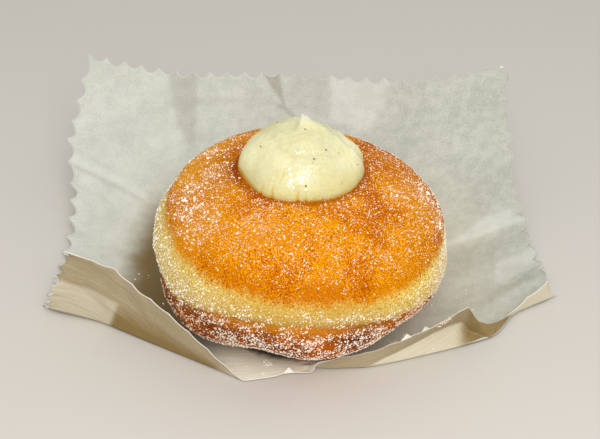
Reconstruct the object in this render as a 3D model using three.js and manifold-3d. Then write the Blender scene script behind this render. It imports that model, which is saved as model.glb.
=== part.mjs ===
// A bombolone: a round fried yeast bun with a pale belt and a sugared crust, a dollop of pastry
// cream on its crown, and the opened sheet of pinked greaseproof paper that it is served in.
// Millimetres, +Z up. The origin is on the paper's underside, below the middle of the bun.
import * as THREE from 'three';
import { mergeVertices } from 'three/addons/utils/BufferGeometryUtils.js';
import Module from 'manifold-3d';

// The bun
const BUN_WIDTH = 90;
const BUN_HEIGHT = 56.7;
const WAIST_HEIGHT = 27;
const FOOT_WIDTH = 40;
const CROWN_FULLNESS = 2.43;
const BASE_FULLNESS = 2.48;
const BUN_COLUMNS = 60;
const BUN_ROWS = 34;

// The bun rose unevenly: its left side is fatter and taller than its right
const FATTER_LEFT = 0.027;
const TALLER_LEFT = 0.086;
const OUTLINE_WAVES = [
  { count: 2, share: 0.010, turn: 1.25 },
  { count: 3, share: 0.013, turn: 0.17 },
];

// Its base is drawn in at the front left and the front right, and is fuller to the left and the right
const BASE_TUCKS = [
  { share: 0.20, turn: -1.92, spread: 0.34 },
  { share: 0.06, turn: -0.68, spread: 0.28 },
  { share: -0.07, turn: -0.10, spread: 0.30 },
  { share: -0.05, turn: -2.65, spread: 0.30 },
];

// The pale belt swells out between the browned crown and the browned base
const BELT_HEIGHT = 31;
const BELT_HALF_WIDTH = 4.8;
const BELT_SWELL = 1.3;
const BELT_LEAN = 2.3;
const BELT_SAG = 1;

// The crown sinks beside the cream
const DIMPLE_DEPTH = 1.6;
const DIMPLE_RADIUS = 11;
const DIMPLE_STRETCH = 0.6;
const DIMPLE_CENTRE = { x: -19, y: -1 };

// The cream
const CREAM_WIDTH = 38.6;
const CREAM_RISE = 16;
const CREAM_SUNK = 5;
const CREAM_SEAT = 53.4;
const CREAM_CENTRE = { x: 0.3, y: -1.5 };
const CREAM_FULLNESS = 1.85;
const CREAM_FOOT_SHARE = 0.8;
const CREAM_UNDERCUT = 0.12;
const CREAM_WAVES = [
  { count: 3, share: 0.030, turn: 0.9 },
  { count: 5, share: 0.018, turn: 2.2 },
];
const CREAM_COLUMNS = 40;
const CREAM_ROWS = 16;
const PEAK_RISE = 2.4;
const PEAK_WIDTH = 2.4;
const PEAK_LEAN = { x: -0.6, y: 0.8 };

// The paper
const PAPER_THICKNESS = 0.5;
const PAPER_COLUMNS = 24;
const BASE_ROWS = 14;
const FLAP_ROWS = 3;
const TOOTH_DEPTH = 1.9;
const TOOTH_SHARE = 0.32;
const RAMP_START = 20;
const RAMP_RADIUS = 80;
const RIPPLE_HEIGHT = 1.6;
const RIPPLE_LENGTH = 11;
const RIPPLE_SLANT = 40;
const RIPPLE_START = 1.3;
const LEFT_BOW = { depth: 4, row: 4, rows: 2.5 };
const RIGHT_BOW = 2;
const LYING_HALF_WIDTH = 40;
const SIDE_LIFT = 1.2;
const CREASE_LIFT = 0.5;
const RESTING_GAP = 0.3;

// Where the paper creases on the table along the front, from the left tip to the right tip
const CREASE = [
  [-81.7, -1.8], [-64.5, -7.6], [-43.4, -20.5], [-17.3, -36.4], [-7.9, -34.6], [4.9, -31.4],
  [20.6, -30.3], [31, -27.2], [49, -20.8], [60.3, -16.2], [69.5, -2.9], [83.9, 5.6],
];

// The cut front edge, turned up from that crease: place on the table and height
const FRONT_EDGE = [
  [-71.5, -4.5, 26], [-59, -10.5, 24.5], [-40, -24.8, 17], [-17.3, -37, 0.8], [-7.9, -35.2, 0.8],
  [4.5, -32.6, 2.2], [20.2, -31, 6.8], [31.1, -28, 9.2], [42.4, -23.6, 11.8], [53, -19.3, 15.3],
  [58, -15.5, 6], [63.1, -11.5, 3.7], [69.4, -4, 2.5], [79.9, 3, 8.2],
];

// The cut back edge as it lay flat, before the sheet curled up behind the bun
const BACK_EDGE = [
  [-78.5, 110], [-45, 104], [0, 103], [42, 100.5], [75.5, 105],
];

// Wavy factor of a round outline at one angle
function wavy(waves, angle) {
  return waves.reduce((sum, wave) => sum + wave.share * Math.cos(wave.count * angle - wave.turn), 1);
}

// Signed power, the curve of a superellipse
function bent(value, fullness) {
  return Math.sign(value) * Math.abs(value) ** (2 / fullness);
}

// Soft hump, 1 at 0
function hump(value) {
  return Math.exp(-(value ** 2));
}

// The bun: a turned superellipse, flat at the foot, then swollen, tucked in, tilted and dimpled
function bunGeometry(grow) {
  const radius = BUN_WIDTH / 2;
  const footLevel = PAPER_THICKNESS + RESTING_GAP;
  const crown = BUN_HEIGHT - WAIST_HEIGHT;
  const footShare = (1 - (FOOT_WIDTH / BUN_WIDTH) ** BASE_FULLNESS) ** (1 / BASE_FULLNESS);
  const base = (WAIST_HEIGHT - footLevel) / footShare;
  const profile = [];
  for (let row = 0; row <= BUN_ROWS; row += 1) {
    const angle = Math.PI * (row / BUN_ROWS - 0.5);
    const fullness = angle > 0 ? CROWN_FULLNESS : BASE_FULLNESS;
    const across = row % BUN_ROWS === 0 ? 0 : (radius + grow) * bent(Math.cos(angle), fullness);
    const above = (angle > 0 ? crown + grow : base) * bent(Math.sin(angle), fullness);
    profile.push(new THREE.Vector2(across, Math.max(WAIST_HEIGHT + above, footLevel - grow)));
  }
  const geometry = new THREE.LatheGeometry(profile, BUN_COLUMNS).rotateX(Math.PI / 2);
  const place = geometry.attributes.position;
  for (let index = 0; index < place.count; index += 1) {
    const turn = Math.atan2(place.getY(index), place.getX(index));
    const height = place.getZ(index);
    const beltMiddle = BELT_HEIGHT - BELT_LEAN * Math.cos(turn) + BELT_SAG * Math.cos(2 * turn);
    const offBelt = (height - beltMiddle) / BELT_HALF_WIDTH;
    const swell = BELT_SWELL / radius * hump(offBelt ** 2);
    const below = Math.max(WAIST_HEIGHT - height, 0) / WAIST_HEIGHT;
    const tuck = BASE_TUCKS.reduce((sum, { share, turn: middle, spread }) => {
      const off = Math.atan2(Math.sin(turn - middle), Math.cos(turn - middle));
      return sum + share * below * hump(off / spread);
    }, 0);
    const outline = wavy(OUTLINE_WAVES, turn) + swell - tuck;
    const x = place.getX(index) * outline;
    const y = place.getY(index) * outline * (1 - FATTER_LEFT * x / radius);
    const raised = Math.max(height - WAIST_HEIGHT, 0);
    const fromDimple = Math.hypot(x - DIMPLE_CENTRE.x, (y - DIMPLE_CENTRE.y) * DIMPLE_STRETCH);
    const dimple = DIMPLE_DEPTH * hump(fromDimple / DIMPLE_RADIUS) * raised / crown;
    place.setXYZ(index, x, y, height - raised * TALLER_LEFT * x / radius - dimple);
  }
  return geometry;
}

// The cream: a soft turned dome with a small leaning peak, its foot sunk below the crown's skin
function creamGeometry() {
  const radius = CREAM_WIDTH / 2;
  const foot = CREAM_SEAT - CREAM_SUNK;
  const profile = [new THREE.Vector2(0, foot), new THREE.Vector2(radius * CREAM_FOOT_SHARE, foot)];
  for (let row = 0; row <= CREAM_ROWS; row += 1) {
    const angle = Math.PI * ((CREAM_UNDERCUT + 0.5) * row / CREAM_ROWS - CREAM_UNDERCUT);
    const across = row === CREAM_ROWS ? 0 : radius * bent(Math.cos(angle), CREAM_FULLNESS);
    const rise = angle > 0 ? CREAM_RISE : CREAM_SUNK;
    profile.push(new THREE.Vector2(across, CREAM_SEAT + rise * bent(Math.sin(angle), CREAM_FULLNESS)));
  }
  const geometry = new THREE.LatheGeometry(profile, CREAM_COLUMNS).rotateX(Math.PI / 2);
  const place = geometry.attributes.position;
  for (let index = 0; index < place.count; index += 1) {
    const turn = Math.atan2(place.getY(index), place.getX(index));
    const outline = wavy(CREAM_WAVES, turn);
    const x = place.getX(index) * outline;
    const y = place.getY(index) * outline;
    const share = Math.max((place.getZ(index) - CREAM_SEAT) / CREAM_RISE, 0);
    const peak = share > 0.5 ? hump(Math.hypot(x, y) / PEAK_WIDTH) : 0;
    place.setXYZ(
      index,
      x + CREAM_CENTRE.x + peak * PEAK_LEAN.x,
      y + CREAM_CENTRE.y + peak * PEAK_LEAN.y,
      place.getZ(index) + peak * PEAK_RISE,
    );
  }
  return geometry;
}

// One point of the paper's middle surface: column 0 to 1 from left to right, row counted from the back
function paperPoint(column, row, crease, frontEdge, backEdge) {
  const fold = crease.getPointAt(column);
  fold.z += CREASE_LIFT;
  if (row > BASE_ROWS) {
    return fold.lerp(frontEdge.getPointAt(column), (row - BASE_ROWS) / FLAP_ROWS);
  }
  const flat = backEdge.getPointAt(column).lerp(fold, row / BASE_ROWS);
  const leftBow = LEFT_BOW.depth * hump((row - LEFT_BOW.row) / LEFT_BOW.rows) * (1 - column) ** 3;
  const rightBow = RIGHT_BOW * Math.sin(Math.PI * row / BASE_ROWS) * column ** 3;
  flat.x -= leftBow + rightBow;
  flat.z = PAPER_THICKNESS / 2 + (row === BASE_ROWS ? CREASE_LIFT : 0);
  flat.z += SIDE_LIFT * (Math.max(Math.abs(flat.x) - LYING_HALF_WIDTH, 0) / LYING_HALF_WIDTH) ** 2;
  const rolled = Math.max(flat.y - RAMP_START, 0) / RAMP_RADIUS;
  const ripple = Math.sin(flat.x / RIPPLE_LENGTH + flat.y / RIPPLE_SLANT + RIPPLE_START);
  if (rolled > 0) {
    const bend = RAMP_RADIUS - RIPPLE_HEIGHT * rolled ** 2 * ripple;
    flat.y = RAMP_START + bend * Math.sin(rolled);
    flat.z += RAMP_RADIUS - bend * Math.cos(rolled);
  }
  return flat;
}

// The paper: a grid bent into shape, a tooth on each outer cell, then given its thickness
function paperGeometry() {
  const level = PAPER_THICKNESS / 2;
  const curve = (points) => new THREE.CatmullRomCurve3(
    points.map(([x, y, z = 0]) => new THREE.Vector3(x, y, level + z)),
    false,
    'centripetal',
  );
  const crease = curve(CREASE);
  const frontEdge = curve(FRONT_EDGE);
  const backEdge = curve(BACK_EDGE);
  const rows = BASE_ROWS + FLAP_ROWS;
  const columns = PAPER_COLUMNS;
  const points = [];
  const faces = [];
  const rim = [];
  const at = (column, row) => row * (columns + 1) + column;
  for (let row = 0; row <= rows; row += 1) {
    for (let column = 0; column <= columns; column += 1) {
      points.push(paperPoint(column / columns, row, crease, frontEdge, backEdge));
    }
  }
  for (let row = 0; row < rows; row += 1) {
    for (let column = 0; column < columns; column += 1) {
      const corners = [at(column, row), at(column, row + 1), at(column + 1, row + 1), at(column + 1, row)];
      faces.push(corners[0], corners[1], corners[2], corners[0], corners[2], corners[3]);
    }
  }
  const addTooth = (from, to, innerFrom, innerTo) => {
    const middle = points[from].clone().lerp(points[to], 0.5);
    const inner = points[innerFrom].clone().lerp(points[innerTo], 0.5);
    const depth = Math.min(TOOTH_DEPTH, TOOTH_SHARE * points[from].distanceTo(points[to]));
    const outward = middle.clone().sub(inner).setLength(depth);
    points.push(middle.add(outward));
    faces.push(from, points.length - 1, to);
    rim.push(from, points.length - 1);
  };
  for (let row = 0; row < rows; row += 1) {
    addTooth(at(0, row), at(0, row + 1), at(1, row), at(1, row + 1));
  }
  for (let column = 0; column < columns; column += 1) {
    addTooth(at(column, rows), at(column + 1, rows), at(column, rows - 1), at(column + 1, rows - 1));
  }
  for (let row = rows; row > 0; row -= 1) {
    addTooth(at(columns, row), at(columns, row - 1), at(columns - 1, row), at(columns - 1, row - 1));
  }
  for (let column = columns; column > 0; column -= 1) {
    addTooth(at(column, 0), at(column - 1, 0), at(column, 1), at(column - 1, 1));
  }
  const sheet = new THREE.BufferGeometry().setFromPoints(points).setIndex(faces);
  sheet.computeVertexNormals();
  const moved = (distance) => points.map((point, index) => {
    const normal = new THREE.Vector3().fromBufferAttribute(sheet.attributes.normal, index);
    return normal.multiplyScalar(distance).add(point);
  });
  const below = points.length;
  const shell = [...faces];
  for (let index = 0; index < faces.length; index += 3) {
    shell.push(below + faces[index], below + faces[index + 2], below + faces[index + 1]);
  }
  rim.forEach((from, index) => {
    const to = rim[(index + 1) % rim.length];
    shell.push(from, below + from, below + to, from, below + to, to);
  });
  return new THREE.BufferGeometry().setFromPoints([...moved(level), ...moved(-level)]).setIndex(shell);
}

const wasm = await Module();
wasm.setup();

// Closed body of a geometry, its seams and poles joined
function solidOf(geometry) {
  geometry.deleteAttribute('normal');
  geometry.deleteAttribute('uv');
  const joined = mergeVertices(geometry, 1e-4);
  const corners = [];
  for (let index = 0; index < joined.index.count; index += 3) {
    const [a, b, c] = [0, 1, 2].map((step) => joined.index.getX(index + step));
    if (a !== b && b !== c && c !== a) {
      corners.push(a, b, c);
    }
  }
  return new wasm.Manifold(new wasm.Mesh({
    numProp: 3,
    vertProperties: new Float32Array(joined.attributes.position.array),
    triVerts: new Uint32Array(corners),
  }));
}

// Drawable geometry of a closed body
function geometryOf(solid) {
  const mesh = solid.getMesh();
  const geometry = new THREE.BufferGeometry();
  geometry.setAttribute('position', new THREE.BufferAttribute(new Float32Array(mesh.vertProperties), 3));
  geometry.setIndex(new THREE.BufferAttribute(new Uint32Array(mesh.triVerts), 1));
  geometry.computeVertexNormals();
  return geometry;
}

const part = new THREE.Group();

// Name a solid and give it its colour
function addPiece(name, solid, color, roughness) {
  const material = new THREE.MeshStandardMaterial({ color, roughness, metalness: 0 });
  const mesh = new THREE.Mesh(geometryOf(solid), material);
  mesh.name = name;
  part.add(mesh);
}

addPiece('dough', solidOf(bunGeometry(0)), '#e0973a', 0.7);
addPiece('cream', solidOf(creamGeometry()).subtract(solidOf(bunGeometry(RESTING_GAP))), '#f3ecbc', 0.35);
addPiece('paper', solidOf(paperGeometry()), '#cfcfc0', 0.6);

export default part;
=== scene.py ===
import math

import bpy
import numpy as np
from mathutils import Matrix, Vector
from mathutils.bvhtree import BVHTree


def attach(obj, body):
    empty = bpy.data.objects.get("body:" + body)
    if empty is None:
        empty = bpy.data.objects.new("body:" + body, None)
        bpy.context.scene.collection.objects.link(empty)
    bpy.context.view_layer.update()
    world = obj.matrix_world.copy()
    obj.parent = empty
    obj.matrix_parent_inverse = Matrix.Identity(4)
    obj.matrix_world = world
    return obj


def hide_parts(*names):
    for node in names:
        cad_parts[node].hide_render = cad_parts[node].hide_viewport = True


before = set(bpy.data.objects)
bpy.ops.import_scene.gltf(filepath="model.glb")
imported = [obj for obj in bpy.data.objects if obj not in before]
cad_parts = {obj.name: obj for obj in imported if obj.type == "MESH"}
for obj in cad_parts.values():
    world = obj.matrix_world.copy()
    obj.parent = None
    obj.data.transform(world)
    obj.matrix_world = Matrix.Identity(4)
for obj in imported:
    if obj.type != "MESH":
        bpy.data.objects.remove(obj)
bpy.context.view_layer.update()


# The sheet of greaseproof paper that the bun is served in: thin, satin and mottled, cut all round
# with pinking blades. It lies flat below the bun and curls up behind it, its front is turned up
# along a crease, and handling has folded and crumpled it.
THICKNESS = 0.3
LEVEL = 0.25
RAMP_START = 20
RAMP_RADIUS = 80
RIPPLE_HEIGHT = 1.6
SIDE_LIFT = 1.2
LYING_HALF_WIDTH = 40
CREASE_LIFT = 0.5
LEFT_BULGE, RIGHT_HOLLOW = 4, 2
LOWEST = 0.02
TEETH_ACROSS = 24
TEETH_DOWN = 14
TEETH_ON_FLAP = 7
STEPS_ACROSS, STEPS_DOWN, STEPS_ON_FLAP = 9, 10, 5
COLUMNS = TEETH_ACROSS * STEPS_ACROSS
BASE_ROWS = TEETH_DOWN * STEPS_DOWN
FLAP_ROWS = TEETH_ON_FLAP * STEPS_ON_FLAP
BACK_TOOTH, LEFT_TOOTH, RIGHT_TOOTH, FRONT_TOOTH = 2.3, 2.7, 2.5, 0.7
BACK_MARGIN, LEFT_MARGIN, RIGHT_MARGIN = 2.2, 2.5, 1.6

# Where the paper creases on the table along the front, from the left tip to the right tip
CREASE = [
    (-81.7, -1.8, 0), (-64.5, -7.6, 0), (-43.4, -20.5, 0), (-17.3, -36.4, 0), (-13, -33, 0),
    (-7.9, -31.2, 0), (3.5, -28.8, 0), (6, -31, 0), (20.6, -30.3, 0), (31, -27.2, 0),
    (49, -20.8, 0), (60.3, -16.2, 0), (63.2, -13.7, 0), (69.5, -2.9, 0), (83.9, 5.6, 0),
]
# The cut front edge, turned up from that crease
FRONT_EDGE = [
    (-71.5, -4.5, 26), (-59, -10.5, 24.5), (-40, -24.8, 17), (-17.3, -36.9, 0.5), (-9.1, -35.2, 0.5),
    (-7, -34.6, 0.5), (-5.2, -33.5, 0.5), (-1.8, -33, 0.5), (3.4, -33.1, 0.5), (4, -32.5, 0.6),
    (5.5, -32, 3.7), (14.3, -31.2, 5.8), (20.2, -31, 6.8), (31.1, -28, 9.2), (33.2, -27.2, 9.7),
    (35, -26.5, 10.1), (39.4, -24.8, 11.1), (42.4, -23.6, 11.8), (49, -20.9, 14.7), (52.2, -19.5, 16),
    (53.3, -18.8, 12.9), (55.8, -17, 8.2), (58, -15.5, 6), (63.1, -11.5, 3.7), (69.4, -4, 2.5),
    (73.9, -1, 5.6), (79.9, 3, 8.2),
]
# The ledge folded into the right flap: where along the crease, at which share of the flap, how deep
LEDGE_PLACES = (21, 25.6, 32, 40, 50, 53, 57, 60)
LEDGE_SHARES = (0.05, 0.3, 0.44, 0.6, 0.52, 0.33, 0.22, 0.05)
LEDGE_DEPTHS = (0, 1, 2.6, 4.2, 5.5, 4.6, 2.4, 0)
LEDGE_DROP = 0.5
# The cut back edge as it lay flat
BACK_EDGE = [(-77.5, 109, 0), (-45, 103.4, 0), (0, 103, 0), (42, 100.5, 0), (75.5, 105, 0)]


def even_line(knots, count, easing):
    """Points spaced evenly along the straight runs between knots, with the corners eased."""
    knots = np.array(knots, float)
    walked = np.concatenate([[0], np.cumsum(np.linalg.norm(np.diff(knots, axis=0), axis=1))])
    stops = np.linspace(0, walked[-1], count)
    line = np.stack([np.interp(stops, walked, knots[:, axis]) for axis in range(3)], 1)
    for _ in range(easing):
        line[1:-1] = 0.25 * line[:-2] + 0.5 * line[1:-1] + 0.25 * line[2:]
    return line


across = np.linspace(0, 1, COLUMNS + 1)
crease = even_line(CREASE, COLUMNS + 1, 14)
front_edge = even_line(FRONT_EDGE, COLUMNS + 1, 1)
back_edge = even_line(BACK_EDGE, COLUMNS + 1, 60)
crease[:, 2] += CREASE_LIFT

# The lying part, from the back edge to the crease, then rolled up behind the bun
down = np.linspace(0, 1, BASE_ROWS + 1)[:, None]
base = back_edge * (1 - down[:, :, None]) + crease * down[:, :, None]
base[:, :, 0] -= LEFT_BULGE * np.exp(-((TEETH_DOWN * down - 4) / 2.5) ** 2) * (1 - across) ** 3
base[:, :, 0] -= RIGHT_HOLLOW * np.sin(np.pi * down) * across ** 3
base[:, :, 2] = CREASE_LIFT * np.clip(TEETH_DOWN * down - (TEETH_DOWN - 1), 0, 1)
base[:, :, 2] += SIDE_LIFT * (np.maximum(abs(base[:, :, 0]) / LYING_HALF_WIDTH - 1, 0)) ** 2
rolled = np.maximum(base[:, :, 1] - RAMP_START, 0) / RAMP_RADIUS
bend = RAMP_RADIUS - RIPPLE_HEIGHT * rolled ** 2 * np.sin(base[:, :, 0] / 11 + 1.3 + base[:, :, 1] / 40)
base[:, :, 1] = np.where(rolled > 0, RAMP_START + bend * np.sin(rolled), base[:, :, 1])
base[:, :, 2] += np.where(rolled > 0, RAMP_RADIUS - bend * np.cos(rolled), 0)
flap_share = np.linspace(0, 1, FLAP_ROWS + 1)[1:, None]
flap = crease + (front_edge - crease) * flap_share[:, :, None]

# On the right the flap is folded once more, into a ledge and a strip above it that leans forward
along = crease[:, 0]
ledge_share = np.interp(along, LEDGE_PLACES, LEDGE_SHARES)
ledge = np.minimum(flap_share / ledge_share, (1 - flap_share) / (1 - ledge_share))
ledge = ledge * np.interp(along, LEDGE_PLACES, LEDGE_DEPTHS)
flap[:, :, 1] += ledge
flap[:, :, 2] -= LEDGE_DROP * ledge
sheet = np.vstack([base, flap])


def normals_of(points):
    """Unit normals of a grid of points, upwards on the lying part."""
    crossed = np.cross(np.gradient(points, axis=0), np.gradient(points, axis=1))
    return crossed / np.linalg.norm(crossed, axis=2, keepdims=True)


# Places on the sheet itself: millimetres from the left edge and from the back edge
from_left = np.cumsum(np.linalg.norm(np.diff(sheet, axis=1, prepend=sheet[:, :1]), axis=2), axis=1)
from_back = np.cumsum(np.linalg.norm(np.diff(sheet, axis=0, prepend=sheet[:1]), axis=2), axis=0)


def folded(start, end, height, before, after):
    """Rise of a sharp fold along a line on the sheet, sloping off over a width on either side."""
    ahead = np.subtract(end, start)
    length = np.linalg.norm(ahead)
    ahead = ahead / length
    run = (from_left - start[0]) * ahead[0] + (from_back - start[1]) * ahead[1]
    off = (from_back - start[1]) * ahead[0] - (from_left - start[0]) * ahead[1]
    slope = np.clip(1 - np.where(off > 0, off / after, -off / before), 0, 1)
    return height * slope * np.clip(1 - np.maximum(-run, run - length) / 8, 0, 1)


# Folds that show: start, end, height, and the width of the slope behind and in front of each
FOLDS = [
    ((43, 30), (30, 1), -0.8, 24, 7),
    ((60, 0), (81, 15), 0.9, 16, 4.5),
    ((38, 8), (70, 10), 0.25, 7, 5),
    ((0, 36), (27, 50), 0.7, 22, 9),
    ((89, 12), (90, 0), 0.4, 9, 16),
    ((106, 18), (114, 1), -0.6, 14, 10),
    ((134, 66), (170, 59), 0.9, 16, 4),
    ((127, 108), (146, 98), 0.7, 9, 5),
    ((146, 98), (184, 88), 0.8, 9, 6),
    ((164, 90), (179, 78), -0.6, 12, 8),
    ((110, 131), (137, 127), 1.3, 4, 6),
    ((137, 127), (151, 119), 1.0, 4, 6),
    ((3, 133), (46, 131), 0.5, 8, 5),
    ((18, 129), (19, 116), -0.9, 8, 14),
]
# Small creases from handling: two corners of their area, their number, longest half and usual height
CRUMPLES = [((5, 2), (175, 75), 26, 26, 0.2), ((0, 108), (34, 142), 14, 9, 0.3)]
chance = np.random.default_rng(4)
rise = sum(folded(*fold) for fold in FOLDS)
for first, last, count, longest, height in CRUMPLES:
    for _ in range(count):
        middle = chance.uniform(first, last)
        half = chance.uniform(0.3, 1) * longest
        turn = chance.uniform(0, np.pi)
        reach = half * np.array([np.cos(turn), np.sin(turn)])
        slopes = chance.uniform(0.12, 0.55, 2) * longest
        rise = rise + folded(middle - reach, middle + reach, chance.normal(0, height), *slopes)


def soft(inside, border):
    """0 outside and 1 inside, rising over the border."""
    return np.clip(inside / border + 0.5, 0, 1)


def patch(corners, border):
    """1 inside a patch of the sheet, its corners given clockwise, and 0 outside it, with a soft border."""
    inside = np.full(from_left.shape, np.inf)
    for start, end in zip(corners, corners[1:] + corners[:1]):
        ahead = np.subtract(end, start) / np.linalg.norm(np.subtract(end, start))
        inside = np.minimum(inside, (from_back - start[1]) * ahead[0] - (from_left - start[0]) * ahead[1])
    return soft(inside, border)


# Facets between folds: their corners, the softness of their borders, and how much paler they look
# where they face the light, or darker, below 0, where they face away from it
FACETS = [
    ([(29.3, -4), (40.5, -4), (43.5, 25), (41.3, 25.3), (35.9, 17.8), (32, 8.8)], 2, -0.5),
    ([(62, -4), (70, -4), (74, 10)], 1, -1),
    ([(70, 9.5), (74, 9.8), (82, 17)], 1, -0.7),
    ([(40, 7), (69, 8), (69, 9.5), (40, 9.5)], 2, -0.25),
    ([(74, -4), (90.6, -4), (91, 14), (76, 11)], 2, -0.25),
    ([(90.6, -4), (114, -4), (107, 19), (91, 15)], 3, 0.5),
    ([(0, 36), (27, 46.5), (27, 50), (0, 39.5)], 1.5, 0.3),
    ([(0, 39.5), (27, 50), (27, 52), (0, 42)], 1.5, -0.35),
    ([(134, 67), (153.4, 56.5), (163, 54.5), (169, 61), (137.5, 67.3)], 2, 0.6),
    ([(137.5, 68), (166, 63), (157, 78), (138.8, 83)], 5, -0.35),
    ([(160, 78.5), (175, 73), (178, 83), (159, 91)], 2, 0.4),
    ([(86.5, 138.6), (90.7, 134.9), (94, 135.5), (91.5, 139)], 0.8, -0.9),
    ([(130, 105), (162.6, 92.7), (182, 88), (185, 94), (155, 100.5), (134, 110)], 3, -0.6),
]
tone = sum(paler * patch(corners, border) for corners, border, paler in FACETS)

# The creases leave the paper flat below the bun and along the front crease
free = np.clip((np.hypot(sheet[:, :, 0], sheet[:, :, 1]) - 40) / 14, 0, 1)
free *= np.clip(abs(from_back - from_back[BASE_ROWS]) / 9, 0, 1)
sheet = sheet + normals_of(sheet) * (rise * free)[:, :, None]


def bitten(count, steps, depth):
    """Depths of cut along an edge of uneven teeth: none at each point, most between two points."""
    share = np.arange(count * steps) / steps % 1
    uneven = np.repeat(chance.uniform(0.75, 1.2, count), steps)
    return np.append(depth * uneven * (1 - (2 * share - 1) ** 2), 0)


def pushed(edge, inner, cut, away, reach):
    """Moves of the sheet towards an inner row that make the cuts at an edge, fading over a reach."""
    inward = inner - edge
    inward = inward / np.linalg.norm(inward, axis=2, keepdims=True)
    return inward * (cut * np.clip(1 - away / reach, 0, 1))[:, :, None]


# The pinked edges: bites between points, and on the right rounded lobes between notches, cut straight
# just behind the right tip
to_right = from_left[:, -1:] - from_left
to_front = from_back[-1:] - from_back
left_cut = bitten(TEETH_DOWN, STEPS_DOWN, LEFT_TOOTH)[:-1]
left_cut = np.append(left_cut, bitten(TEETH_ON_FLAP, STEPS_ON_FLAP, LEFT_TOOTH * 0.7))
right_cut = RIGHT_TOOTH - bitten(TEETH_DOWN, STEPS_DOWN, RIGHT_TOOTH)
right_cut[-9:] = RIGHT_TOOTH + 1
right_cut = np.append(right_cut, bitten(1, FLAP_ROWS, 1.8)[1:])
back_cut = bitten(TEETH_ACROSS, STEPS_ACROSS, BACK_TOOTH)
front_cut = bitten(TEETH_ACROSS, STEPS_ACROSS, FRONT_TOOTH) * np.clip(front_edge[:, 2] - 1.5, 0, 1)
moves = pushed(sheet[:1], sheet[8:9], back_cut[None, :] - BACK_MARGIN, from_back, 6)
moves += pushed(sheet[-1:], sheet[-6:-5], front_cut[None, :], to_front, 4)
left_depth = (left_cut[:, None] - LEFT_MARGIN) * np.clip(from_back / 5, 0, 1)
moves += pushed(sheet[:, :1], sheet[:, 8:9], left_depth, from_left, 7)
moves += pushed(sheet[:, -1:], sheet[:, -9:-8], right_cut[:, None] - RIGHT_MARGIN, to_right, 6)
sheet = sheet + moves

# Teeth of the left edge that stand up or hang down
curl = np.interp(np.arange(len(sheet)), np.arange(0, len(sheet) + 8, 5), chance.normal(0, 0.8, 37))
curl = curl[:, None] * np.clip(1 - from_left / 6, 0, 1) ** 2
sheet = sheet + normals_of(sheet) * (curl * (sheet[:, :, 2] > 3))[:, :, None]

# How tan the outside looks: painted shade, warmed by light through the paper, where the flaps lean into
# their own shade, darkest low on the left flap and at the right corner, palest in the middle, below the
# right ledge and at the right tip; and plain below the lying part
FLAP_TAN, PLAIN_TAN, PLAIN_START = 0.6, 0.25, 10
on_left = soft(-20 - along, 10)
tan = FLAP_TAN + 0.06 * on_left + 0.4 * on_left * np.clip((0.6 - flap_share) * 2.2, 0, 1)
for place, level in (
    (soft(-61 - along, 1.5) * soft(0.52 - flap_share, 0.05), 0.25),
    (soft(along - 40, 6) * soft(60 - along, 4) * soft(flap_share - ledge_share, 0.06), 0.7),
    (soft(along - 21, 4) * soft(50 - along, 3) * soft(ledge_share - flap_share, 0.06), 0.12),
    (soft(along - 52, 3) * soft(69 - along, 2), 0.95),
    (soft(along - 69, 2), 0.05),
    (soft(along + 24, 8) * soft(5 - along, 3), 0.1),
):
    tan = tan + place * (level - tan)
off_crease = np.clip((from_back[BASE_ROWS] - from_back[:BASE_ROWS + 1]) / PLAIN_START, 0, 1)
tan = np.vstack([tan[:1] + (PLAIN_TAN - tan[:1]) * off_crease, tan])

# Both faces and the cut edge
sheet[:, :, 2] += LEVEL
lean = normals_of(sheet) * THICKNESS / 2
upper = sheet + lean
lower = sheet - lean
lower[:, :, 2] = np.maximum(lower[:, :, 2], LOWEST)
rows, columns = sheet.shape[:2]
index = np.arange(rows * columns).reshape(rows, columns)
quads = np.stack([index[:-1, :-1], index[1:, :-1], index[1:, 1:], index[:-1, 1:]], 2).reshape(-1, 4)
rim = np.concatenate([index[:, 0], index[-1, 1:], index[-2::-1, -1], index[0, -2:0:-1]])
next_rim = np.roll(rim, -1)
sides = np.stack([rim, rim + rows * columns, next_rim + rows * columns, next_rim], 1)
faces = np.vstack([quads, quads[:, ::-1] + rows * columns, sides])
places = np.vstack([upper.reshape(-1, 3), lower.reshape(-1, 3)]) / 1000
paper_mesh = bpy.data.meshes.new("paper_sheet")
paper_mesh.from_pydata(places.tolist(), [], faces.tolist())
paper_mesh.shade_smooth()
cut_edge = np.zeros(rows * columns)
cut_edge[rim] = 1
spread = np.stack([from_left, from_back, np.zeros_like(from_left)], 2).reshape(-1, 3)
paper_mesh.attributes.new("under", "FLOAT", "POINT").data.foreach_set(
    "value", np.repeat([0.0, 1.0], rows * columns))
paper_mesh.attributes.new("cut_edge", "FLOAT", "POINT").data.foreach_set("value", np.tile(cut_edge, 2))
paper_mesh.attributes.new("tan", "FLOAT", "POINT").data.foreach_set("value", np.tile(tan.ravel(), 2))
paper_mesh.attributes.new("tone", "FLOAT", "POINT").data.foreach_set("value", np.tile(tone.ravel(), 2))
paper_mesh.attributes.new("spread", "FLOAT_VECTOR", "POINT").data.foreach_set(
    "vector", np.tile(spread, (2, 1)).ravel())
paper = bpy.data.objects.new("paper_sheet", paper_mesh)
bpy.context.scene.collection.objects.link(paper)

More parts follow.
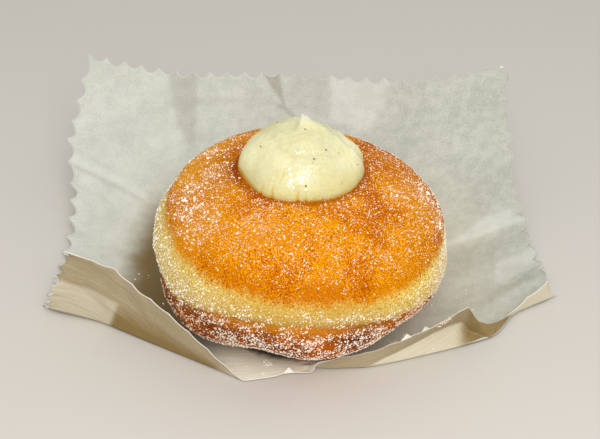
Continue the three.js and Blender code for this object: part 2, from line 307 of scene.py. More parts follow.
# Three teeth of the front edge, of the same paper, that folding has turned up to the light. Each is
# a thin three-cornered prism on the sheet, given by its left, its right and its tip.
TURNED_TEETH = np.array([
    [(-5.2, -33.3, 0.8), (-1.8, -32.8, 0.8), (-3.4, -32.4, 2.4)],
    [(30.8, -28.2, 9.1), (34.2, -27, 9.9), (32.6, -27.5, 11.4)],
    [(37.2, -25.8, 10.7), (39.9, -24.8, 11.3), (38.3, -25.2, 12.4)],
])
# How much paler each tooth is painted, for the light that it catches
TOOTH_TONES = [1.4, 0.3, 0.3]
TOOTH_FACES = [(0, 1, 2), (5, 4, 3), (0, 3, 4, 1), (1, 4, 5, 2), (2, 5, 3, 0)]
crossed = np.cross(TURNED_TEETH[:, 1] - TURNED_TEETH[:, 0], TURNED_TEETH[:, 2] - TURNED_TEETH[:, 0])
crossed = crossed / np.linalg.norm(crossed, axis=1, keepdims=True)
places = np.hstack([TURNED_TEETH, TURNED_TEETH - THICKNESS * crossed[:, None]]).reshape(-1, 3) / 1000
faces = []
for number in range(len(TURNED_TEETH)):
    faces.extend(tuple(corner + 6 * number for corner in face) for face in TOOTH_FACES)
teeth_mesh = bpy.data.meshes.new("paper_teeth")
teeth_mesh.from_pydata(places.tolist(), [], faces)
teeth_mesh.attributes.new("tone", "FLOAT", "POINT").data.foreach_set("value", np.repeat(TOOTH_TONES, 6))
teeth = bpy.data.objects.new("paper_teeth", teeth_mesh)
bpy.context.scene.collection.objects.link(teeth)


class Field:
    """A number, vector or colour in a node tree; sums written in Python become its nodes."""

    def __init__(self, tree, socket):
        self.tree = tree
        self.socket = socket

    def node(self, kind, inputs=(), output=0, **settings):
        """Any node, with its settings, then its inputs by place or by name."""
        made = self.tree.nodes.new(kind)
        for name, value in settings.items():
            setattr(made, name, value)
        for key, value in inputs.items() if isinstance(inputs, dict) else enumerate(inputs):
            if isinstance(value, Field):
                self.tree.links.new(value.socket, made.inputs[key])
            elif value is not None:
                vector = made.inputs[key].type == "VECTOR" and isinstance(value, (int, float))
                made.inputs[key].default_value = (value,) * 3 if vector else value
        return Field(self.tree, made.outputs[output])

    def maths(self, operation, *values):
        """Maths on numbers, or on vectors where one of the values is a vector."""
        vector = any(isinstance(value, Field) and value.socket.type == "VECTOR" for value in values)
        kind = "ShaderNodeVectorMath" if vector else "ShaderNodeMath"
        return self.node(kind, values, operation=operation)

    def to(self, operation, *others):
        """This value put through a maths operation."""
        return self.maths(operation, self, *others)

    def __add__(self, other):
        return self.maths("ADD", self, other)

    def __radd__(self, other):
        return self.maths("ADD", other, self)

    def __sub__(self, other):
        return self.maths("SUBTRACT", self, other)

    def __rsub__(self, other):
        return self.maths("SUBTRACT", other, self)

    def __mul__(self, other):
        return self.maths("MULTIPLY", self, other)

    def __rmul__(self, other):
        return self.maths("MULTIPLY", other, self)

    def __truediv__(self, other):
        return self.maths("DIVIDE", self, other)

    def __pow__(self, other):
        return self.maths("POWER", self, other)

    def __neg__(self):
        return self.maths("MULTIPLY", self, -1)

    def step(self, low, high):
        """Smooth rise from 0 to 1 between two values."""
        return self.node("ShaderNodeMapRange", (self, low, high, 0, 1), interpolation_type="SMOOTHSTEP")

    def bell(self):
        """1 at 0, falling away on both sides."""
        return (-(self * self)).to("EXPONENT")

    def axes(self):
        """The three numbers of a vector."""
        parts = self.node("ShaderNodeSeparateXYZ", (self,)).socket.node
        return [Field(self.tree, socket) for socket in parts.outputs]

    def noise(self, size, detail=2.0, rough=0.5):
        """Cloudy noise at this place, 0 to 1, with clouds of about the given size."""
        inputs = {"Vector": self, "Scale": 1 / size, "Detail": detail, "Roughness": rough}
        return self.node("ShaderNodeTexNoise", inputs)

    def blend(self, first, second):
        """Colour from first, at 0, to second, at 1."""
        return self.node("ShaderNodeMix", {0: self, 6: first, 7: second}, 2, data_type="RGBA")

    def between(self, first, second):
        """Number from first, at 0, to second, at 1."""
        return first + self * (second - first)


def tint(red, green, blue):
    """Linear colour of a screen colour."""
    levels = [level / 255 for level in (red, green, blue)]
    linear = [((level + 0.055) / 1.055) ** 2.4 if level > 0.04 else level / 12.92 for level in levels]
    return (*linear, 1)


def new_material(name, **settings):
    """A Principled material with constant settings, and its object coordinates in millimetres."""
    made = bpy.data.materials.new(name)
    made.use_nodes = True
    shader = made.node_tree.nodes["Principled BSDF"]
    for key, value in settings.items():
        shader.inputs[key.replace("_", " ").title().replace("Ior", "IOR")].default_value = value
    start = Field(made.node_tree, made.node_tree.nodes.new("ShaderNodeTexCoord").outputs["Object"])
    return made, shader, start * 1000


def feed(shader, **links):
    """Joins fields to a shader's inputs."""
    for key, field in links.items():
        field.tree.links.new(field.socket, shader.inputs[key.replace("_", " ").title()])


def settled(piece, node):
    """Fixes a finished piece in the frame and hides the node that it stands for."""
    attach(piece, "root")
    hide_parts(node)


paper_material, shader, place = new_material("greaseproof_paper", specular_ior_level=0.3)
spread = place.node("ShaderNodeAttribute", output=1, attribute_name="spread")
under = place.node("ShaderNodeAttribute", output=2, attribute_name="under").step(0.4, 0.6)
cut_edge = place.node("ShaderNodeAttribute", output=2, attribute_name="cut_edge").step(0.8, 1.0)
clouds = spread.noise(16, 3)
blots = spread.noise(4, 2, 0.6)
mottle = spread.noise(0.7, 2, 0.6)
streaks = (spread * (0.06, 1, 1)).noise(0.9, 3, 0.6)
x, y, z = place.axes()

# The inside: mottled, with painted light and shade: greyer on the right, warm near the bun with
# light thrown off it, a painted shadow in the gully on its left, pale in front of it and a dark
# painted shadow right below it, with the facets between the folds
from_bun = (x * x + (y - 22) * (y - 22) * 0.5) ** 0.5 + (clouds - 0.5) * 10
# A painted shadow in the gully left of the bun, low on the sheet
painted_gully_shadow = (1 - from_bun.step(52, 64)) * (-x).step(20, 44) * (1 - z.step(2, 12))
# Painted light: the sheet warmed near the bun as if by light thrown off its crust
warm = (1 - from_bun.step(44, 84)) * (1 - z.step(4, 22))
nearby = (x * x + y * y) ** 0.5 + (blots - 0.5) * 3
face = (clouds * 0.4 + blots * 0.2 + mottle * 0.4).step(0.34, 0.66)
face = face.blend(tint(195, 199, 188), tint(219, 221, 211))
# Painted shade: the sheet greyer towards the right
grey = (clouds * 0.25 + blots * 0.35 + mottle * 0.4).step(0.36, 0.64)
grey = grey.blend(tint(167, 169, 157), tint(195, 196, 184))
face = ((x + clouds * 40).step(-60, 90) * 0.7).blend(face, grey)
face = (warm * 0.3).blend(face, tint(222, 210, 182))
# Painted light: the streaky strip in front of the bun made pale as if fully lit under its overhang
strip = streaks.step(0.36, 0.6).blend(tint(242, 241, 210), tint(255, 255, 244))
face = (9 * (x / 26 + 0.35).bell() - y).step(22, 31).blend(face, strip)
face = (painted_gully_shadow * 0.95).blend(face, tint(122, 96, 42))
# Painted shade under the bun: browner round it, less so in front, and a dark painted shadow right below
# its edge
browner = (1 - nearby.step(26, 33)) * (-y).step(17, 25).between(0.4, 0.12)
face = browner.blend(face, tint(196, 166, 104))
face = ((1 - nearby.step(25.5, 28.5)) * 0.9).blend(face, tint(70, 48, 22))
# Painted light and shade: facets and turned-up teeth paler where they face the light, darker where they
# face away
tone = place.node("ShaderNodeAttribute", output=2, attribute_name="tone")
face = (tone * 0.5).blend((tone * -0.5).blend(face, tint(142, 133, 114)), tint(246, 247, 242))

# The tan outside with its painted shade, and the cut edge painted bright as a highlight, less so on
# the right flap
tan = place.node("ShaderNodeAttribute", output=2, attribute_name="tan") + (streaks - 0.5) * 0.5
outside = (tan + (mottle - 0.5) * 0.3).blend(tint(220, 211, 187), tint(142, 117, 68))
cut_edge = cut_edge * (1 - 0.65 * x.step(5, 20) * (-y).step(0, 10))
skin = cut_edge.blend(under.blend(face, outside), tint(246, 244, 236))
fibres = mottle * 0.5 + streaks * 0.5
grain = place.node("ShaderNodeBump", {"Strength": 0.1, "Distance": 0.0002, "Height": fibres})
feed(shader, base_color=skin, roughness=0.5 + mottle * 0.25, normal=grain)
paper_mesh.materials.append(paper_material)
teeth_mesh.materials.append(paper_material)
settled(paper, "paper")
settled(teeth, "paper")


# The bun: a ball of yeast dough, flattened by frying on both sides. Crown and base are browned,
# and the belt between them, which floated above the oil, stayed pale and swells out a little.
# It rose unevenly, so its left side is fatter and taller, and its skin is finely pitted.
def new_tree(name, sockets):
    """A geometry tree with named inputs, and a field for each of them."""
    tree = bpy.data.node_groups.new(name, "GeometryNodeTree")
    tree.interface.new_socket("Geometry", in_out="OUTPUT", socket_type="NodeSocketGeometry")
    for label, (kind, value) in sockets.items():
        made = tree.interface.new_socket(label, in_out="INPUT", socket_type="NodeSocket" + kind)
        if kind not in ("Object", "Material"):
            made.default_value = value
    entry = tree.nodes.new("NodeGroupInput")
    return tree, {label: Field(tree, entry.outputs[label]) for label in sockets}


def plain_piece(name, tree, geometry, sockets):
    """The mesh that a geometry tree makes, as an object of its own without the tree."""
    exit_node = tree.nodes.new("NodeGroupOutput")
    tree.links.new(geometry.socket, exit_node.inputs[0])
    made = bpy.data.objects.new(name, bpy.data.meshes.new(name + "_start"))
    bpy.context.scene.collection.objects.link(made)
    modifier = made.modifiers.new("form", "NODES")
    modifier.node_group = tree
    for item in tree.interface.items_tree:
        if item.in_out == "INPUT":
            modifier[item.identifier] = sockets[item.name][1]
    mesh = bpy.data.meshes.new_from_object(made.evaluated_get(bpy.context.evaluated_depsgraph_get()))
    mesh.name = name
    made.modifiers.clear()
    made.data = mesh
    mesh.shade_smooth()
    return made


def belt_edges(x, y):
    """Lower and upper height of the pale belt in the direction of a point."""
    side = x / (x * x + y * y + 0.0001) ** 0.5
    left = (-side).to("MAXIMUM", 0)
    right = side.to("MAXIMUM", 0)
    low = 28.8 - 5.8 * side - 12.2 * left * left + 3.4 * left ** 8 - 6.8 * right * right
    high = 36.0 - 4.2 * side + 1.6 * side * side + 1.5 * left ** 10 - 3.4 * right + 4.5 * right ** 8
    return low, high


# Where the cream sits on the crown
CREAM_X, CREAM_Y = 0.3, -1.5
# Where sugar lies thick on the crown: place and radius of each drift
SUGAR_DRIFTS = [
    (-26, -3, 6), (-34, -10, 7), (-30, -17, 5), (-27, 12, 5), (-29, -24, 6), (-12, -28, 4),
    (29, -9, 3.5), (38, -1, 4.5), (42, -7, 3.5),
]


def drifted(x, y):
    """How thick the sugar lies: 1 in the middle of a drift, 0 away from them all."""
    thick = 0
    for middle_x, middle_y, radius in SUGAR_DRIFTS:
        away = ((x - middle_x) * (x - middle_x) + (y - middle_y) * (y - middle_y)) ** 0.5
        thick = thick + (away / radius).bell()
    return thick


bun_material, shader, place = new_material("fried_dough", specular_ior_level=0.02)
x, y, z = place.axes()
low, high = belt_edges(x, y)
wobble = (place.noise(11) - 0.5) * 4 + (place.noise(2.4, 3) - 0.5) * 4
grit = (place.noise(0.6, 1) - 0.5) * 5
crust = (z - high - wobble * 0.8 - grit).step(-2.1, 1)
rising = (z - low - wobble * 0.8 - grit * 0.6).step(-1.5, 1.1)
leftward = (-x).step(12, 42)
thick = drifted(x, y).to("MINIMUM", 1)
rim = 1 - 0.85 * (-y).step(10, 30) * (1 - (z - high).step(1, 9))
pits = place.noise(0.5, 2, 0.6)
flecks = place.noise(0.38, 2, 0.6)
patches = place.noise(13, 3)
dust = place.noise(0.36, 1).step(0.52, 0.68) * place.noise(6, 2).step(0.3, 0.7)

# The crown: golden and flecked, browner along its lower rim and in patches, with painted light on its back
# left and painted shade round the cream
gold = (flecks * 0.65 + patches * 0.35).step(0.41, 0.59).blend(tint(178, 77, 0), tint(248, 168, 9))
browned = (1 - (z - high - wobble).step(1, 9)) * (1 - x.step(8, 28) * 0.8) * (1 - leftward * 0.9)
brown = flecks.step(0.4, 0.6).blend(tint(158, 70, 0), tint(208, 114, 0))
gold = (browned * 0.6).blend(gold, brown)
gold = ((patches - 0.5).step(0.04, 0.16) * 0.45).blend(gold, tint(192, 98, 2))
gold = (thick * 0.4).blend(gold, tint(228, 150, 34))
gold = (leftward * (z - high).step(2, 8) * 0.5).blend(gold, tint(206, 128, 12))
# Painted light on the back left of the crown, which faces away from the lamps
gold = (leftward * y.step(-14, 4) * (z - high).step(1, 6) * 0.55).blend(gold, tint(244, 168, 16))
# Painted shade in the dimple left of the cream and a painted shadow round its foot
shaded = (((x + 22) * (x + 22) + (y + 1) * (y + 1) * 0.4) ** 0.5 / 6).bell()
from_cream = ((x - CREAM_X) * (x - CREAM_X) + (y - CREAM_Y) * (y - CREAM_Y)) ** 0.5
beside = ((from_cream - 19.6) / 1.9).bell()
gold = (shaded * 0.5 + beside * 0.7).blend(gold, tint(150, 66, 0))
gold = (x.step(8, 26) * y.step(-8, 8) * 0.4).blend(gold, tint(186, 88, 0))
gold = (dust * 0.05 * rim).blend(gold, tint(255, 222, 170))

# The belt: straw coloured, yellower on the right, and paler at both sides as painted light
straw = (z - low - wobble).step(-1, 9).blend(tint(199, 166, 85), tint(224, 194, 100))
pale = x.step(14, 40).blend(straw, tint(254, 228, 122))
# Painted light on both sides of the belt
pale = (x.step(37, 44) * 0.8).blend(pale, tint(252, 236, 180))
pale = leftward.blend(pale, tint(230, 213, 130))
pale = pits.step(0.34, 0.62).blend(tint(198, 144, 42), pale)
pale = (dust * 0.45 * (high - z).step(0, 5)).blend(pale, tint(252, 242, 210))

# The base: dark, with painted shade on its left and painted light thrown up from the paper on its right,
# and a golden band below the belt in front
dark = (pits * 0.5 + patches * 0.5).step(0.4, 0.6).blend(tint(104, 34, 0), tint(206, 106, 0))
# Painted shade on the left of the base, painted light on its right
dark = (leftward * 0.6).blend(dark, tint(104, 42, 2))
dark = (x.step(14, 36) * 0.4).blend(dark, tint(224, 120, 10))
band = ((low - z - 1.5) / 3.2).bell() * ((x + 3) / 22).bell() * (0.5 + 0.5 * patches)
dark = band.blend(dark, tint(228, 148, 26))
dark = (dust * (0.3 + 0.4 * leftward)).blend(dark, tint(214, 176, 138))
skin = rising.blend(dark, crust.blend(pale, gold))

# The finest sugar, too small to stand up, as specks in the skin
cells = place.node("ShaderNodeTexVoronoi", {"Vector": place, "Scale": 1 / 0.55}, 0, feature="F1")
lot = Field(place.tree, cells.socket.node.outputs["Color"]).axes()[0]
drift = place.noise(7, 3)
on_pale = (0.2 + 0.3 * leftward) * (high - z).step(0, 5)
on_gold = (0.15 + 0.2 * thick) * rim
density = rising.between(0.3 * drift.step(0.35, 0.6), crust.between(on_pale, on_gold))
speck = (1 - cells.step(0.2, 0.36)) * (density * (0.4 + 1.2 * drift) - lot).step(-0.02, 0.02)
skin = (speck * 0.95).blend(skin, tint(255, 246, 228))
height = pits * 0.5 + speck * 0.8 + place.noise(4, 3) * 0.8
relief = place.node("ShaderNodeBump", {"Strength": 0.5, "Distance": 0.0004, "Height": height})
feed(shader, base_color=skin, roughness=0.65 - speck * 0.25, normal=relief)

BUN = {
    "Material": ("Material", bun_material),
    "Width": ("Float", 90.0),
    "Height": ("Float", 56.7),
    "Waist": ("Float", 27.0),
    "Foot": ("Float", 40.0),
    "Belt swell": ("Float", 1.4),
    "Fatter left": ("Float", 0.027),
    "Taller left": ("Float", 0.086),
    "Dimple depth": ("Float", 1.6),
}
# Where the base is drawn in, or fuller, below 0: share, direction and spread of each place
BASE_TUCKS = [(0.20, -1.92, 0.34), (0.06, -0.68, 0.28), (-0.07, -0.10, 0.30), (-0.05, -2.65, 0.30)]
FOOT_LEVEL = 0.6
BELT_HALF = 4.6
TINY = 0.00001
CROWN_POWER, BASE_POWER = 2 / 2.43, 2 / 2.48
tree, size = new_tree("bun_form", BUN)
ball = size["Width"].node("GeometryNodeMeshUVSphere", {"Segments": 360, "Rings": 216, "Radius": 1.0})
spot = ball.node("GeometryNodeInputPosition")
ball_x, ball_y, ball_z = spot.axes()
radius = size["Width"] / 2
crown = size["Height"] - size["Waist"]
upper = ball_z.to("GREATER_THAN", 0)
ring = (ball_x * ball_x + ball_y * ball_y) ** 0.5
turn = ball_y.to("ARCTAN2", ball_x)
power = upper.between(BASE_POWER, CROWN_POWER)
foot_share = (1 - (size["Foot"] / size["Width"]) ** (2 / BASE_POWER)) ** (BASE_POWER / 2)
depth = (size["Waist"] - FOOT_LEVEL) / foot_share
tall = size["Waist"] + ball_z.to("ABSOLUTE") ** power * upper.between(-depth, crown)
tall = tall.to("MAXIMUM", FOOT_LEVEL)
low, high = belt_edges(ball_x, ball_y)
off_belt = (tall - (low + high) / 2) / BELT_HALF
swell = size["Belt swell"] / radius * (off_belt * off_belt).bell()
swell = swell * (1 - 0.75 * (ball_x / (ring + TINY)).to("MAXIMUM", 0) ** 4)
sunk = (size["Waist"] - tall).to("MAXIMUM", 0) / size["Waist"]
tuck = 0
for share, middle, spread in BASE_TUCKS:
    tuck = tuck + share * sunk * ((turn - middle) / spread).bell()
outline = 1 + 0.010 * (2 * turn - 1.25).to("COSINE") + 0.013 * (3 * turn - 0.17).to("COSINE")
lump = (spot.noise(0.22, 2) - 0.5) * 0.024 + (spot.noise(0.06, 2) - 0.5) * (0.006 + 0.014 * sunk)
reach = radius * ring ** power * (outline + swell - tuck + lump)
new_x = reach * ball_x / (ring + TINY)
new_y = reach * ball_y / (ring + TINY) * (1 - size["Fatter left"] * new_x / radius)
raised = (tall - size["Waist"]).to("MAXIMUM", 0)
away = ((new_x + 19) * (new_x + 19) + (new_y + 1) * (new_y + 1) * 0.36) ** 0.5 / 11
dimple = size["Dimple depth"] * away.bell() * raised / crown
new_z = tall - raised * size["Taller left"] * new_x / radius - dimple
new_z = new_z + (spot.noise(0.2, 2) - 0.5) * 1.2 * raised / crown
spot = new_x.node("ShaderNodeCombineXYZ", (new_x, new_y, new_z)) * 0.001
formed = ball.node("GeometryNodeSetPosition", {"Geometry": ball, "Position": spot})
formed = formed.node("GeometryNodeSetMaterial", {"Geometry": formed, "Material": size["Material"]})
bun = plain_piece("bun", tree, formed, BUN)
settled(bun, "dough")


# The sugar: fine granulated crystals that the warm bun was rolled in. They lie thickest on the
# base, thinly on the belt and in drifts on the crown, half sunk in the skin, and a few fell off.
sugar_material, shader, place = new_material("sugar", roughness=0.3, specular_ior_level=0.4)
shade = place.node("ShaderNodeAttribute", output=2, attribute_name="shade")
x, _, z = place.axes()

# Crystals low on the sides, most on the left, are painted tan for the shade that they lie in
painted_low_shade = ((-x).step(12, 34) + 0.5 * x.step(16, 34)) * (1 - z.step(22, 27)) * z.step(2, 3)
colour = shade.step(0, 0.6).blend(tint(255, 238, 204), tint(255, 254, 246))
feed(shader, base_color=(painted_low_shade * 0.7).blend(colour, tint(226, 186, 140)))


def strewn(name, host, seed, density, size, spots):
    """Crystals strewn over a piece: their number a square millimetre, their size and where they lie."""
    sockets = {
        "Host": ("Object", host),
        "Material": ("Material", sugar_material),
        "Density": ("Float", density),
        "Size": ("Float", size),
        "Seed": ("Int", seed),
    }
    tree, value = new_tree(name + "_tree", sockets)
    seed = value["Seed"]
    surface = value["Host"].node("GeometryNodeObjectInfo", {"Object": value["Host"]}, "Geometry")
    spot = surface.node("GeometryNodeInputPosition") * 1000
    dense = {"Mesh": surface, "Density": value["Density"] * 1000000 * spots(spot), "Seed": seed}
    points = surface.node("GeometryNodeDistributePointsOnFaces", dense)
    crystal = surface.node("GeometryNodeMeshUVSphere", {"Segments": 4, "Rings": 2, "Radius": 0.0005})
    spin = {"Min": (0, 0, 0), "Max": (6.283, 6.283, 6.283), "Seed": seed + 1}
    spin = surface.node("FunctionNodeRandomValue", spin, data_type="FLOAT_VECTOR")
    stretch = {"Min": (0.6, 0.6, 0.6), "Max": (1.2, 1.2, 1.2), "Seed": seed + 2}
    stretch = surface.node("FunctionNodeRandomValue", stretch, data_type="FLOAT_VECTOR")
    luck = surface.node("FunctionNodeRandomValue", {2: 0.0, 3: 1.0, "Seed": seed + 3}, 1)
    stretch = stretch * (value["Size"] * (0.55 + luck ** 3))
    grains = {"Points": points, "Instance": crystal, "Rotation": spin, "Scale": stretch}
    grains = surface.node("GeometryNodeInstanceOnPoints", grains)
    shade = surface.node("FunctionNodeRandomValue", {2: 0.0, 3: 1.0, "Seed": seed + 4}, 1)
    shade = {"Geometry": grains, "Name": "shade", "Value": shade}
    grains = surface.node("GeometryNodeStoreNamedAttribute", shade, data_type="FLOAT", domain="INSTANCE")
    grains = surface.node("GeometryNodeRealizeInstances", {"Geometry": grains})
    grains = surface.node("GeometryNodeSetMaterial", {"Geometry": grains, "Material": value["Material"]})
    made = plain_piece(name, tree, grains, sockets)
    made.data.shade_flat()
    return made


def on_crown(spot):
    """Share of sugar on the crown: none below the cream and along the rim, most in the drifts."""
    x, y, z = spot.axes()
    high = belt_edges(x, y)[1]
    bare = ((x * x + (y - CREAM_Y) * (y - CREAM_Y)) ** 0.5).step(18.8, 21.5)
    clumps = spot.noise(3.2, 2).step(0.48, 0.62)
    rim = (z - high).step(-1, 4) * (1 - 0.8 * (-y).step(10, 30) * (1 - (z - high).step(1, 9)))
    thickness = 0.24 + 0.3 * clumps + drifted(x, y) * (0.12 + 0.7 * clumps)
    behind = 1 - 0.4 * y.step(0, 30)
    back_left = 1 - 0.35 * (-x).step(12, 30) * y.step(-4, 10)
    return bare * rim * thickness * behind * back_left


def in_drifts(spot):
    """Share of coarse sugar: in the drifts on the crown alone."""
    x, y, z = spot.axes()
    high = belt_edges(x, y)[1]
    return drifted(x, y) * spot.noise(2.2, 2).step(0.46, 0.58) * (z - high).step(0, 4)


def on_belt(spot):
    """Share of sugar on the belt: in clumps, more at its lower edge and at both sides."""
    x, y, z = spot.axes()
    low, high = belt_edges(x, y)
    clumps = spot.noise(5, 3).step(0.42, 0.66)
    edge = (z - low).step(-1, 1.5) * (high - z).step(0, 4)
    lowest = (low + 4 - z).step(-3, 3) * 0.7
    return edge * (0.3 + clumps + lowest + (-x).step(12, 42) * 0.6 + x.step(37, 43))


def on_base(spot):
    """Share of sugar on the base: in clumps, with a bare band below the belt in front."""
    x, y, z = spot.axes()
    low = belt_edges(x, y)[0]
    clumps = (spot * (1, 1, 2)).noise(5, 3).step(0.43, 0.55)
    bare = 5.2 * ((x + 1) / 21).bell() * (-y).step(0, 10) * spot.noise(6, 2).step(0.36, 0.56)
    sides = 1 - 0.38 * (-x).step(12, 42) + 0.2 * x.step(12, 36)
    return (low - z - bare).step(-1.2, 1.2) * z.step(2, 5) * (0.12 + 0.85 * clumps) * sides


# Small heaps of fallen sugar, one on the right flap and three beside the bun: place and radius of each
FALLEN_HEAPS = [
    ((44.4, -22.3, 12.2), 1.9), ((29.7, -17.4, 0.5), 0.9),
    ((33.3, -15.3, 0.5), 0.7), ((-9.6, -28.2, 0.5), 1.1),
]
HEAPED_SHARE = 24
TOP_LEVEL = 0.3


def fallen(spot):
    """Share of sugar on the sheet: dense in the heaps, and a few crystals strewn round the bun."""
    x, y, z = spot.axes()
    heaped = 0
    for middle, radius in FALLEN_HEAPS:
        away = spot - middle
        away = away.node("ShaderNodeVectorMath", (away,), 1, operation="LENGTH")
        heaped = heaped + HEAPED_SHARE * (away / radius).bell()
    from_bun = (x * x + y * y) ** 0.5
    topside = spot.node("GeometryNodeInputNormal").axes()[2].to("GREATER_THAN", 0)
    loose = topside * from_bun.step(30, 34) * (1 - from_bun.step(44, 66))
    loose = loose * spot.noise(5, 2).step(0.56, 0.66) * (3 - z).step(0, 1)
    return heaped * z.to("GREATER_THAN", TOP_LEVEL) + loose


settled(strewn("sugar_crown", bun, 11, 3.7, 0.44, on_crown), "dough")
settled(strewn("sugar_coarse", bun, 15, 0.55, 1.0, in_drifts), "dough")
settled(strewn("sugar_belt", bun, 12, 1.1, 0.6, on_belt), "dough")
settled(strewn("sugar_base", bun, 13, 3.2, 0.66, on_base), "dough")
settled(strewn("sugar_fallen", paper, 14, 0.2, 0.8, fallen), "paper")


# The cream: a spoonful of thick pastry cream set on the crown. It is glossy and a little
# translucent, with soft ripples, a lower edge that has split, and a peak where the spoon left it.

# Where the lower edge has split: direction and height of each split
SPLITS = [(-2.22, 5), (-2.02, 6), (-1.62, 5), (-1.5, 3), (-1.22, 2)]
cream_material, shader, place = new_material(
    "pastry_cream", roughness=0.4, specular_ior_level=0.3, subsurface_weight=0.8, subsurface_scale=0.009,
    coat_roughness=0.05, coat_ior=3.0)
shader.inputs["Subsurface Radius"].default_value = (1.0, 0.85, 0.5)
x, y, z = place.axes()
marbling = place.noise(6, 3).step(0.35, 0.65)
ripples = (place * (1, 1, 1.6)).noise(2.8, 1) + place.noise(1.1, 1) * 0.35
# Small wet spots on the front catch the light
facing = (((x - 2.5) / 8).bell() * (-y).step(4, 12)).step(0.4, 0.6)
wet = facing * place.noise(0.8, 2, 0.6).step(0.54, 0.6) * place.noise(2.6, 1).step(0.4, 0.52)
# Painted light and shade: paler towards the sides, darker yellow at the back left, darker and
# yellower towards the foot as light comes through the thinner cream, and a painted shadow along
# the very foot; with yellow splits
colour = marbling.blend(tint(223, 218, 171), tint(229, 225, 184))
out = ((x - CREAM_X) * (x - CREAM_X) + (y - CREAM_Y) * (y - CREAM_Y)) ** 0.5
colour = (out.step(8, 18) * (y + 14).step(0, 8)).blend(colour, tint(252, 246, 198))
colour = ((-x).step(0, 10) * (y + 3).step(0, 8) * 0.6).blend(colour, tint(208, 198, 130))
# Painted shade, and light through the thin cream, at its foot
colour = z.step(53, 62).blend(tint(222, 208, 136), colour)
colour = (z + x * 0.05).step(54.3, 55.9).blend(tint(230, 172, 50), colour)
turn = (y - CREAM_Y).to("ARCTAN2", x - CREAM_X) + (place.noise(1.5) - 0.5) * 0.08
torn = (((x + 4.8) - (y + 17.4) * 0.9) / 0.4).bell() * ((y + 17.4) / 1.1).bell()
for angle, length in SPLITS:
    torn = torn + ((turn - angle) / 0.018).bell() * (1 - z.step(51.5 + length, 53 + length))
colour = (torn * 0.6).blend(colour, tint(222, 188, 60))
relief = place.node("ShaderNodeBump", {"Strength": 0.4, "Distance": 0.0012, "Height": ripples})
feed(shader, base_color=colour, coat_weight=wet, normal=relief)

CREAM = {
    "Material": ("Material", cream_material),
    "Width": ("Float", 38.6),
    "Rise": ("Float", 16.0),
    "Sunk": ("Float", 5.0),
    "Foot height": ("Float", 53.4),
    "Peak rise": ("Float", 4.3),
    "Peak width": ("Float", 1.1),
}
CREAM_POWER = 2 / 1.85
tree, size = new_tree("cream_form", CREAM)
ball = size["Width"].node("GeometryNodeMeshUVSphere", {"Segments": 300, "Rings": 200, "Radius": 1.0})
spot = ball.node("GeometryNodeInputPosition")
ball_x, ball_y, ball_z = spot.axes()
radius = size["Width"] / 2
ring = (ball_x * ball_x + ball_y * ball_y) ** 0.5
turn = ball_y.to("ARCTAN2", ball_x)
above = ball_z.to("MAXIMUM", 0)
outline = 1 + 0.030 * (3 * turn - 0.9).to("COSINE") + 0.018 * (5 * turn - 2.2).to("COSINE")
outline = outline + 0.04 * (spot.noise(0.35, 2) - 0.5) - 0.05 * ((turn - 0.12) / 0.1).bell()
for angle, length in SPLITS:
    outline = outline - 0.035 * ((turn - angle) / 0.022).bell() * (ball_z / (0.06 * length)).bell()
swirl = (ring - 0.74 - 0.09 * turn) / 0.05
reach = radius * ring ** CREAM_POWER * outline
new_x = reach * ball_x / (ring + TINY)
new_y = reach * ball_y / (ring + TINY)
beside = ball_x * ball_x.to("GREATER_THAN", 0).between(1.5, 0.17)
away = (beside * beside + ball_y * ball_y) ** 0.5 * radius / size["Peak width"]
peak = (-(away ** 1.3)).to("EXPONENT") * ball_z.to("GREATER_THAN", 0)
new_z = size["Foot height"] + size["Rise"] * above ** CREAM_POWER + size["Sunk"] * ball_z.to("MINIMUM", 0)
hollow = 1.9 * ((ball_x - 0.7) / 0.3).bell() + 0.8 * (ring / 0.32).bell()
new_z = new_z + peak * size["Peak rise"] - 0.5 * swirl.bell() * above - hollow * above
new_z = new_z + above * ((spot.noise(0.3, 2) - 0.5) * 2.4 + (spot.noise(0.1, 2) - 0.5) * 0.7)
new_x = new_x + CREAM_X + peak * 0.2
new_y = new_y + CREAM_Y + peak * 0.8
spot = new_x.node("ShaderNodeCombineXYZ", (new_x, new_y, new_z)) * 0.001
formed = ball.node("GeometryNodeSetPosition", {"Geometry": ball, "Position": spot})
formed = formed.node("GeometryNodeSetMaterial", {"Geometry": formed, "Material": size["Material"]})
cream = plain_piece("pastry_cream", tree, formed, CREAM)
settled(cream, "cream")


# The vanilla seeds in the cream: tiny black grains, each half sunk in its surface. Every seed is
# eight-sided and stands where a line straight down meets the cream.

# Place and half width of each seed
SEEDS = [
    (-11.6, -5.7, 0.32), (1.5, -3.2, 0.3), (7.2, 0.6, 0.26), (7.6, -9.3, 0.34), (11.5, -6.9, 0.22),
    (4.1, -13.2, 0.36), (17.3, -5.5, 0.25), (1.7, -19.2, 0.36), (-0.6, -11.1, 0.2), (3.8, -14.5, 0.2),
    (12.3, -15, 0.17), (4.6, -16.1, 0.15), (-7, 6, 0.25), (3, 11, 0.22), (-13, 8, 0.2), (10, 8, 0.3),
]
cream_corners = [corner.co.copy() for corner in cream.data.vertices]
cream_faces = [tuple(face.vertices) for face in cream.data.polygons]
surface = BVHTree.FromPolygons(cream_corners, cream_faces)
octahedron = np.array([(1, 0, 0), (0, 1, 0), (-1, 0, 0), (0, -1, 0), (0, 0, 1), (0, 0, -1)], float)
octahedron_faces = [(0, 1, 4), (1, 2, 4), (2, 3, 4), (3, 0, 4), (1, 0, 5), (2, 1, 5), (3, 2, 5), (0, 3, 5)]
corners, faces = [], []
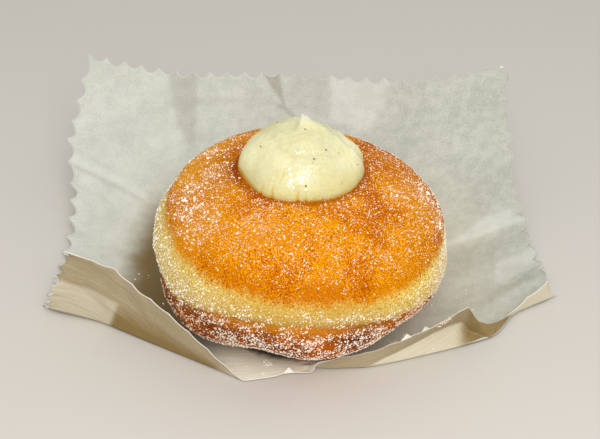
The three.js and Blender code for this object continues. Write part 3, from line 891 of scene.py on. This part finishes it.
for number, (x, y, grain) in enumerate(SEEDS):
    found = surface.ray_cast(Vector((x / 1000, y / 1000, 0.1)), Vector((0, 0, -1)))[0]
    corners.extend((octahedron * grain / 1000 + np.array(found)).tolist())
    faces.extend(tuple(corner + 6 * number for corner in face) for face in octahedron_faces)
seed_mesh = bpy.data.meshes.new("vanilla_seeds")
seed_mesh.from_pydata(corners, [], faces)
seeds = bpy.data.objects.new("vanilla_seeds", seed_mesh)
bpy.context.scene.collection.objects.link(seeds)
seed_material, shader, place = new_material("vanilla", roughness=0.5)
feed(shader, base_color=place.noise(0.3).blend(tint(8, 6, 4), tint(36, 28, 20)))
seed_mesh.materials.append(seed_material)
settled(seeds, "cream")


# The plain pale floor below the paper, soft round lights in front and above, and the camera, level and
# looking down at the bun.
floor_mesh = bpy.data.meshes.new("floor")
floor_mesh.from_pydata([(-3, -3, 0), (3, -3, 0), (3, 3, 0), (-3, 3, 0)], [], [(0, 1, 2, 3)])
floor = bpy.data.objects.new("floor", floor_mesh)
bpy.context.scene.collection.objects.link(floor)
floor_material, shader, place = new_material("floor", roughness=0.8)
feed(shader, base_color=place.noise(400).blend((0.66, 0.63, 0.58, 1), (0.7, 0.67, 0.62, 1)))
floor_mesh.materials.append(floor_material)

world = bpy.data.worlds.new("studio")
world.use_nodes = True
world.node_tree.nodes["Background"].inputs["Color"].default_value = (1.0, 0.995, 0.98, 1)
world.node_tree.nodes["Background"].inputs["Strength"].default_value = 0.62
bpy.context.scene.world = world

LIT_POINT = (0, 0, 0.03)
CAMERA_DOWN = 33


def area_light(name, place, size, power, colour):
    """A round soft light at a place, turned towards the bun."""
    lamp = bpy.data.lights.new(name, "AREA")
    lamp.shape = "DISK"
    lamp.size = size
    lamp.energy = power
    lamp.color = colour
    made = bpy.data.objects.new(name, lamp)
    made.location = place
    made.rotation_euler = (Vector(LIT_POINT) - Vector(place)).to_track_quat("-Z", "Y").to_euler()
    bpy.context.scene.collection.objects.link(made)


area_light("key", (0.05, -0.45, 0.41), 0.36, 1.3, (1, 0.98, 0.95))
area_light("top", (0.04, -0.4, 0.58), 0.5, 1.15, (1, 0.99, 0.98))

camera_data = bpy.data.cameras.new("camera")
camera_data.lens = 75.91
camera_data.sensor_width = 36
camera = bpy.data.objects.new("camera", camera_data)
camera.location = (0, -0.33174, 0.25054)
camera.rotation_euler = (math.radians(90 - CAMERA_DOWN), 0, 0)
bpy.context.scene.collection.objects.link(camera)
bpy.context.scene.camera = camera
bpy.context.scene.view_settings.view_transform = "Standard"
